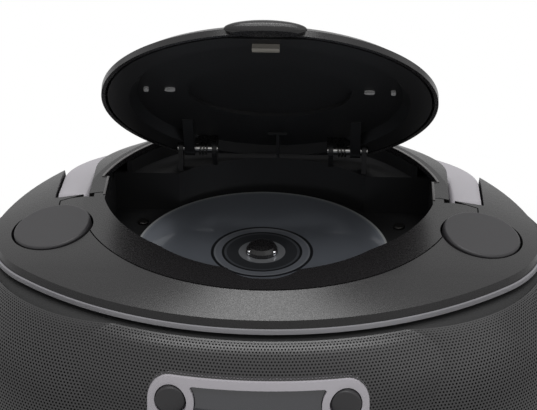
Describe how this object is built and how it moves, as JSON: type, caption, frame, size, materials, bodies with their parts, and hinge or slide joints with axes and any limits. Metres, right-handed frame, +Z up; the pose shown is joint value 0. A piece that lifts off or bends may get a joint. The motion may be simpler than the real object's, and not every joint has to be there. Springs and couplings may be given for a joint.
{
  "type": "cd boombox",
  "caption": "Oval table-top music player with a round hinged top lid, open disc well, wrap-round speaker grille, display panel, dials and folding carry handle.",
  "frame": {"origin": "middle of the footprint, on the table face under the feet", "axes": "+X to the right seen from the front, +Y from the display to the rear, +Z up"},
  "size_m": [0.3, 0.236, 0.2338],
  "materials": {
    "top_plastic": "satin dark grey",
    "dark_gloss": "semi-gloss near black",
    "well_plastic": "fine matt black",
    "cabinet_plastic": "fine matt black",
    "silver_plastic": "painted silver",
    "grille_metal": "perforated, satin dark grey",
    "frame_steel": "pressed steel",
    "cone_paper": "doped black paper",
    "magnet_iron": "ferrite",
    "smoked_window": "smoked clear plastic",
    "circuit_board": "green laminate",
    "display_glass": "display cell",
    "dark_plastic": "matt black",
    "dial_plastic": "satin dark grey",
    "handle_plastic": "painted silver",
    "steel": "bright",
    "lid_gloss": "semi-gloss near black",
    "lid_plastic": "matt black",
    "pad_rubber": "soft grey",
    "disc_plastic": "metallised polycarbonate",
    "hub_plastic": "gloss black",
    "chromed_ball": "polished",
    "damper_rubber": "soft black",
    "lens_glass": "clear coated",
    "contact_steel": "nickel plated",
    "core_iron": "laminated steel",
    "winding_wrap": "yellow tape over copper wire",
    "foot_rubber": "matt black"
  },
  "bodies": {
    "cabinet": {"top_cover": "top_plastic", "deck_plate": "dark_gloss", "cd_well": "well_plastic", "front_cabinet": "cabinet_plastic", "rear_cabinet": "cabinet_plastic", "trim_ring": "silver_plastic", "speaker_grille": "grille_metal", "left_speaker_frame": "frame_steel", "right_speaker_frame": "frame_steel", "left_speaker_cone": "cone_paper", "right_speaker_cone": "cone_paper", "left_speaker_magnet": "magnet_iron", "right_speaker_magnet": "magnet_iron", "display_bezel": "silver_plastic", "display_window": "smoked_window", "display_board": "circuit_board", "lcd_panel": "display_glass", "tact_switches": "dark_plastic", "left_encoder": "dark_plastic", "right_encoder": "dark_plastic", "handle_pins": "steel", "latch_catch": "well_plastic", "hinge_pins": "steel", "lid_springs": "steel", "spindle_motor": "steel", "deck_chassis": "dark_plastic", "deck_dampers": "damper_rubber", "guide_rods": "steel", "sled_motor": "steel", "well_screws": "steel", "battery_bay": "dark_plastic", "battery_contacts": "contact_steel", "main_board": "circuit_board", "transformer_core": "core_iron", "transformer_winding": "winding_wrap", "socket_panel": "dark_plastic", "ac_inlet": "dark_plastic", "audio_jack": "dark_plastic", "feet": "foot_rubber", "cabinet_screws": "steel"},
    "lid": {"lid_shell": "lid_gloss", "lid_liner": "lid_plastic", "lid_pads": "pad_rubber", "latch_tongue": "lid_plastic"},
    "disc": {"compact_disc": "disc_plastic", "turntable_hub": "hub_plastic", "hub_balls": "chromed_ball"},
    "sled": {"laser_sled": "dark_plastic", "objective_lens": "lens_glass"},
    "lead_screw_body": {"lead_screw": "steel"},
    "carry_handle": {"handle": "handle_plastic"},
    "left_knob": {"left_dial": "dial_plastic"},
    "right_knob": {"right_dial": "dial_plastic"},
    "power_button": {"left_round_button": "silver_plastic"},
    "mode_button": {"right_round_button": "silver_plastic"},
    "key_one": {"key_1": "silver_plastic"},
    "key_two": {"key_2": "silver_plastic"},
    "key_three": {"key_3": "silver_plastic"},
    "key_four": {"key_4": "silver_plastic"},
    "bay_door": {"battery_door": "cabinet_plastic"}
  },
  "joints": [
    {"name": "lid_hinge", "type": "hinge", "parent": "cabinet", "child": "lid", "pos_m": [0, 0.059, 0.128], "axis": [1, 0, 0], "range_deg": [0, 48.25], "stiffness_Nm_per_rad": 0.09, "springref_deg": -28.65},
    {"name": "disc_spin", "type": "hinge", "parent": "cabinet", "child": "disc", "pos_m": [-0.003, 0.005, 0.1], "axis": [0, 0, 1], "continuous": true},
    {"name": "sled_slide", "type": "slide", "parent": "cabinet", "child": "sled", "axis": [1, 0, 0], "range_m": [0, 0.033]},
    {"name": "lead_screw_spin", "type": "hinge", "parent": "cabinet", "child": "lead_screw_body", "pos_m": [0.04, 0.005, 0.0865], "axis": [1, 0, 0], "range_deg": [0, 1200]},
    {"name": "handle_fold", "type": "hinge", "parent": "cabinet", "child": "carry_handle", "pos_m": [0, 0.017, 0.1165], "axis": [1, 0, 0], "range_deg": [0, 52]},
    {"name": "left_dial_turn", "type": "hinge", "parent": "cabinet", "child": "left_knob", "pos_m": [-0.098, -0.02, 0.12615], "axis": [-0.1732, -0.0696, 0.9824], "range_deg": [0, 300]},
    {"name": "right_dial_turn", "type": "hinge", "parent": "cabinet", "child": "right_knob", "pos_m": [0.098, -0.02, 0.12615], "axis": [0.1732, -0.0696, 0.9824], "continuous": true},
    {"name": "power_push", "type": "slide", "parent": "cabinet", "child": "power_button", "axis": [0, 1, 0], "range_m": [0, 0.0015], "stiffness_N_per_m": 300},
    {"name": "mode_push", "type": "slide", "parent": "cabinet", "child": "mode_button", "axis": [0, 1, 0], "range_m": [0, 0.0015], "stiffness_N_per_m": 300},
    {"name": "key_one_push", "type": "slide", "parent": "cabinet", "child": "key_one", "axis": [0, 1, 0], "range_m": [0, 0.0015], "stiffness_N_per_m": 300},
    {"name": "key_two_push", "type": "slide", "parent": "cabinet", "child": "key_two", "axis": [0, 1, 0], "range_m": [0, 0.0015], "stiffness_N_per_m": 300},
    {"name": "key_three_push", "type": "slide", "parent": "cabinet", "child": "key_three", "axis": [0, 1, 0], "range_m": [0, 0.0015], "stiffness_N_per_m": 300},
    {"name": "key_four_push", "type": "slide", "parent": "cabinet", "child": "key_four", "axis": [0, 1, 0], "range_m": [0, 0.0015], "stiffness_N_per_m": 300},
    {"name": "battery_door_pull", "type": "slide", "parent": "cabinet", "child": "bay_door", "axis": [0, 1, 0], "range_m": [0, 0.03]}
  ],
  "couplings": [
    {"joint": "lead_screw_spin", "follows": "sled_slide", "rad_per_m": 628.32}
  ]
}
